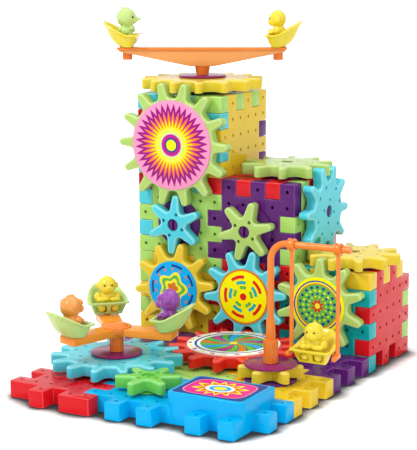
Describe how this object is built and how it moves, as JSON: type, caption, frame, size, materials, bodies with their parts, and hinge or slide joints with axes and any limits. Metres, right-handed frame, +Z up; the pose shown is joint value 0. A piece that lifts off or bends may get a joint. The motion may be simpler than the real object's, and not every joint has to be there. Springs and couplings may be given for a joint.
{
  "type": "motorized gear building set",
  "caption": "Toy of interlocking square tiles in three stepped towers, with meshing gears that turn a see-saw, a carousel and a swing.",
  "frame": {"origin": "middle of the bottom of the whole set, on the ground", "axes": "+X to the right along the front wall, +Y away into depth, +Z up"},
  "size_m": [0.2512, 0.2622, 0.2553],
  "materials": {
    "red_plastic": "moulded, satin gloss",
    "yellow_plastic": "moulded, satin gloss",
    "lime_plastic": "moulded, satin gloss",
    "purple_plastic": "moulded, satin gloss",
    "teal_plastic": "moulded, satin gloss",
    "cyan_plastic": "moulded, satin gloss",
    "sky_blue_plastic": "moulded, satin gloss",
    "green_plastic": "moulded, satin gloss",
    "orange_plastic": "moulded, satin gloss",
    "violet_plastic": "moulded, satin gloss",
    "amber_plastic": "moulded, satin gloss"
  },
  "bodies": {
    "tiles": {"base_front_left": "red_plastic", "base_left": "yellow_plastic", "base_middle": "lime_plastic", "base_right": "yellow_plastic", "base_back_left": "purple_plastic", "base_back_middle": "teal_plastic", "base_back_right": "purple_plastic", "front_left_low": "yellow_plastic", "front_left_mid": "lime_plastic", "front_left_high": "cyan_plastic", "front_middle_low": "red_plastic", "front_middle_high": "purple_plastic", "front_right_low": "teal_plastic", "side_left_low": "lime_plastic", "side_left_mid": "cyan_plastic", "side_left_high": "red_plastic", "side_right_high": "yellow_plastic", "side_right_mid": "lime_plastic", "side_right_low": "red_plastic", "back_left_high": "purple_plastic", "back_right_low": "lime_plastic", "top_left": "lime_plastic", "top_middle": "red_plastic", "top_right": "yellow_plastic", "back_middle_panel": "purple_plastic", "motor_block": "sky_blue_plastic"},
    "carousel": {"gear_carousel": "cyan_plastic", "disc_carousel": "purple_plastic", "carousel_frame": "orange_plastic", "tub_carousel_right": "lime_plastic", "figure_purple_pup": "violet_plastic", "tub_carousel_back": "lime_plastic", "figure_carousel_monkey": "yellow_plastic", "tub_carousel_left": "lime_plastic", "figure_orange_pup": "amber_plastic"},
    "pinion": {"gear_pinion": "green_plastic"},
    "red_gear": {"gear_red": "red_plastic"},
    "swing": {"gear_swing": "yellow_plastic", "disc_swing": "purple_plastic", "swing_frame": "orange_plastic"},
    "front_cyan": {"gear_front_cyan": "cyan_plastic"},
    "front_yellow": {"gear_front_yellow": "yellow_plastic"},
    "front_lime": {"gear_front_lime": "lime_plastic"},
    "small_lime": {"gear_small_lime": "lime_plastic"},
    "small_cyan": {"gear_small_cyan": "cyan_plastic"},
    "sunburst": {"gear_sunburst": "lime_plastic"},
    "seesaw": {"gear_seesaw": "yellow_plastic", "disc_seesaw": "purple_plastic", "seesaw_beam": "orange_plastic", "tub_seesaw_right": "yellow_plastic", "figure_seesaw_monkey": "yellow_plastic", "tub_seesaw_left": "yellow_plastic", "figure_chick": "lime_plastic"},
    "top_right_gear": {"gear_top_right": "yellow_plastic"},
    "side_gear": {"gear_side": "cyan_plastic"},
    "top_middle_gear": {"gear_top_middle": "lime_plastic"},
    "swing_seat": {"hanger_left": "orange_plastic", "hanger_right": "orange_plastic", "tub_swing": "yellow_plastic", "figure_swing_monkey": "yellow_plastic"}
  },
  "joints": [
    {"name": "carousel_spin", "type": "hinge", "parent": "tiles", "child": "carousel", "pos_m": [-0.04094, -0.05921, 0.01185], "axis": [0, 0, 1], "continuous": true},
    {"name": "pinion_spin", "type": "hinge", "parent": "tiles", "child": "pinion", "pos_m": [0.00706, -0.09521, 0.01185], "axis": [0, 0, 1], "continuous": true},
    {"name": "red_gear_spin", "type": "hinge", "parent": "tiles", "child": "red_gear", "pos_m": [0.01906, 0.00079, 0.01185], "axis": [0, 0, 1], "continuous": true},
    {"name": "swing_spin", "type": "hinge", "parent": "tiles", "child": "swing", "pos_m": [0.06706, -0.03521, 0.01185], "axis": [0, 0, 1], "continuous": true},
    {"name": "front_cyan_spin", "type": "hinge", "parent": "tiles", "child": "front_cyan", "pos_m": [0.00706, 0.04879, 0.04785], "axis": [0, -1, 0], "continuous": true},
    {"name": "front_yellow_spin", "type": "hinge", "parent": "tiles", "child": "front_yellow", "pos_m": [-0.05294, 0.04879, 0.04785], "axis": [0, -1, 0], "continuous": true},
    {"name": "front_lime_spin", "type": "hinge", "parent": "tiles", "child": "front_lime", "pos_m": [0.06706, 0.04879, 0.04785], "axis": [0, -1, 0], "continuous": true},
    {"name": "small_lime_spin", "type": "hinge", "parent": "tiles", "child": "small_lime", "pos_m": [0.00706, 0.04879, 0.09585], "axis": [0, -1, 0], "continuous": true},
    {"name": "small_cyan_spin", "type": "hinge", "parent": "tiles", "child": "small_cyan", "pos_m": [-0.05294, 0.04879, 0.09585], "axis": [0, -1, 0], "continuous": true},
    {"name": "sunburst_spin", "type": "hinge", "parent": "tiles", "child": "sunburst", "pos_m": [-0.05294, 0.04879, 0.15585], "axis": [0, -1, 0], "continuous": true},
    {"name": "seesaw_spin", "type": "hinge", "parent": "tiles", "child": "seesaw", "pos_m": [-0.05294, 0.08479, 0.19185], "axis": [0, 0, 1], "continuous": true},
    {"name": "top_right_gear_spin", "type": "hinge", "parent": "tiles", "child": "top_right_gear", "pos_m": [0.07906, 0.07279, 0.07185], "axis": [0, 0, 1], "continuous": true},
    {"name": "side_gear_spin", "type": "hinge", "parent": "tiles", "child": "side_gear", "pos_m": [0.04306, 0.08479, 0.10785], "axis": [1, 0, 0], "continuous": true},
    {"name": "top_middle_gear_spin", "type": "hinge", "parent": "tiles", "child": "top_middle_gear", "pos_m": [0.01906, 0.08479, 0.13185], "axis": [0, 0, 1], "continuous": true},
    {"name": "seat_swing", "type": "hinge", "parent": "swing", "child": "swing_seat", "pos_m": [0.09966, -0.03521, 0.10695], "axis": [1, 0, 0], "range_deg": [-10, 10]}
  ],
  "couplings": [
    {"joint": "pinion_spin", "follows": "carousel_spin", "ratio": -2.3333},
    {"joint": "red_gear_spin", "follows": "carousel_spin", "ratio": -1},
    {"joint": "swing_spin", "follows": "carousel_spin", "ratio": 2.3333},
    {"joint": "front_cyan_spin", "follows": "carousel_spin", "ratio": 1.4},
    {"joint": "front_yellow_spin", "follows": "carousel_spin", "ratio": -1.4},
    {"joint": "front_lime_spin", "follows": "carousel_spin", "ratio": -1.4},
    {"joint": "small_lime_spin", "follows": "carousel_spin", "ratio": -2.3333},
    {"joint": "small_cyan_spin", "follows": "carousel_spin", "ratio": 2.3333},
    {"joint": "sunburst_spin", "follows": "carousel_spin", "ratio": -1},
    {"joint": "seesaw_spin", "follows": "carousel_spin", "ratio": 1},
    {"joint": "top_right_gear_spin", "follows": "carousel_spin", "ratio": 1.4},
    {"joint": "side_gear_spin", "follows": "carousel_spin", "ratio": -1.4},
    {"joint": "top_middle_gear_spin", "follows": "carousel_spin", "ratio": 1.4}
  ]
}
